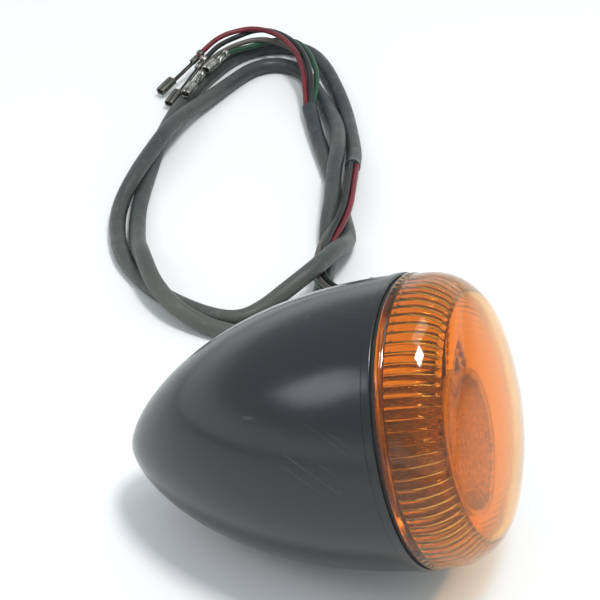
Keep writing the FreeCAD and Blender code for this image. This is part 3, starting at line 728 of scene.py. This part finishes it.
def terminal(colour):
    """Bare tinned terminal crimped on the end of a wire."""
    back = above_floor(*END_ROUTES[colour][-1])
    tip = above_floor(*TERMINAL_TIPS[colour])
    along = (tip - back).normalized()
    side = Vector((0, 0, 1)).cross(along).normalized()
    up = along.cross(side)
    axes = Matrix((along, side, up)).transposed()
    points, faces = terminal_shape(TERMINAL_STEMS[colour])
    placed = [back + axes @ (p * MM) for p in points]
    piece = mesh_piece("crimp_terminal_" + colour, placed, faces, "tinned")
    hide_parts("terminal_" + colour)
    return piece


def end_wires():
    """The four wires that come out of the sheath's end, each with its terminal."""
    for colour, route in END_ROUTES.items():
        points = [above_floor(*p) for p in route]
        wire = spline_piece("end_lead_" + colour, points, WIRE_R, "wire_" + colour)
        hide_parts("end_wire_" + colour)
        terminal(colour)


# ---------------------------------------------------------------- stud

def thread_radius(y, t):
    """Radius of the thread at a height along the stud and an angle round it."""
    turn = (y / PITCH - t / (2 * math.pi)) % 1.0
    groove = THREAD_DEPTH * min(1.0, max(0.0, 1.35 - 3.0 * abs(turn - 0.5)))
    if y - THREAD_START <= 0.6:
        groove = 0.0
    end_bevel = 0.7 * max(0.0, 1.0 - (STUD_END - y) / 0.9)
    return STUD_R - max(groove, end_bevel)


def stud_rings(columns):
    """Heights along the stud, each with the radii round it, closed through the bore."""
    plain = [(HEAD_START, BORE_R), (HEAD_START, HEAD_R - HEAD_BEVEL)]
    plain += [(HEAD_START + HEAD_BEVEL, HEAD_R), (HEAD_END, HEAD_R)]
    plain += [(HEAD_END, STUD_R), (THREAD_START, STUD_R)]
    rings = [(y, [r] * columns) for y, r in plain]
    steps = int((STUD_END - THREAD_START) / PITCH * 12)
    for k in range(1, steps):
        y = THREAD_START + (STUD_END - THREAD_START) * k / steps
        rings.append((y, [thread_radius(y, t) for t in around(columns)]))
    ending = [(STUD_END, STUD_R - 0.75), (STUD_END, BORE_R + 0.25), (STUD_END - 0.3, BORE_R)]
    return rings + [(y, [r] * columns) for y, r in ending]


def build_stud():
    """Hollow stud with a flatted head inside the housing and a rolled thread."""
    columns = 72
    rings = stud_rings(columns)
    points = []
    for y, radii in rings:
        for r, t in zip(radii, around(columns)):
            across = r * math.cos(t)
            if y <= HEAD_END and r > HEAD_FLAT:
                across = max(-HEAD_FLAT, min(HEAD_FLAT, across))
            points.append(to_row(STUD_X + across, y, r * math.sin(t)))
    faces = grid_faces(len(rings), columns, close_rows=True)
    stud = mesh_piece("threaded_stud", points, faces, "steel")
    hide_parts("mounting_stud")


# ---------------------------------------------------------------- stage

def pale_floor():
    """A wide pale floor, out of sight at its edges."""
    made, tree, shader = new_material("floor")
    coords = place_coords(tree)
    tone = blend_colours(
        tree, noise(tree, coords, 3.0, 2.0), (0.93, 0.93, 0.93), (0.96, 0.96, 0.96)
    )
    tree.links.new(tone, shader.inputs["Base Color"])
    shader.inputs["Roughness"].default_value = 0.7
    mesh = bpy.data.meshes.new("floor")
    reach = 6.0
    corners = [(-1, -1), (1, -1), (1, 1), (-1, 1)]
    mesh.from_pydata([(x * reach, y * reach, FLOOR) for x, y in corners], [], [(0, 1, 2, 3)])
    mesh.materials.append(made)
    floor = bpy.data.objects.new("floor", mesh)
    bpy.context.scene.collection.objects.link(floor)


def soft_light(name, place, aim, size, power, tint=(1, 1, 1)):
    """A rectangular area light at place, in millimetres, facing aim."""
    data = bpy.data.lights.new(name, "AREA")
    data.shape = "RECTANGLE"
    data.size, data.size_y = (s * MM for s in size)
    data.energy = power
    data.color = tint
    light = bpy.data.objects.new(name, data)
    light.location = Vector(place) * MM
    way = (Vector(aim) - Vector(place)).normalized()
    light.rotation_euler = way.to_track_quat("-Z", "Y").to_euler()
    bpy.context.scene.collection.objects.link(light)


def surroundings():
    """White low down all round, and greyer from a little above the horizon."""
    world = bpy.data.worlds.new("studio")
    world.use_nodes = True
    tree = world.node_tree
    coords = tree.nodes.new("ShaderNodeTexCoord")
    height = part_of(tree, coords.outputs["Generated"], "Z")
    up = span(tree, height, 0.16, 0.32, 0.0, 1.0)
    colour = blend_colours(tree, up, (1.12, 1.12, 1.12), (0.545, 0.6, 0.61))
    tree.links.new(colour, tree.nodes["Background"].inputs["Color"])
    bpy.context.scene.world = world


def lights():
    """A small softbox overhead and fainter ones behind it and at the left."""
    soft_light("overhead", (165, -55, 745), (0, 0, 0), (160, 160), 3.1)
    soft_light("behind", (69, 183, 715), (0, 0, 0), (200, 330), 0.45)
    soft_light("left", (-510, -290, 480), (0, -30, 0), (240, 260), 0.55, (0.86, 0.95, 1.0))


def camera():
    """The view of the reference picture."""
    data = bpy.data.cameras.new("camera")
    data.lens = FOCAL
    data.sensor_width = 36.0
    eye = bpy.data.objects.new("camera", data)
    look = Vector(LOOK).normalized()
    up = Vector(UP).normalized()
    side = look.cross(up)
    turn = Matrix((side, up, -look)).transposed().to_4x4()
    eye.matrix_world = Matrix.Translation(Vector(EYE) * MM) @ turn
    bpy.context.scene.collection.objects.link(eye)
    bpy.context.scene.camera = eye
    bpy.context.scene.view_settings.view_transform = "Standard"


finish_cad_nodes()
build_lens()
build_stud()
base_wires()
sheath()
end_wires()
pale_floor()
surroundings()
lights()
camera()
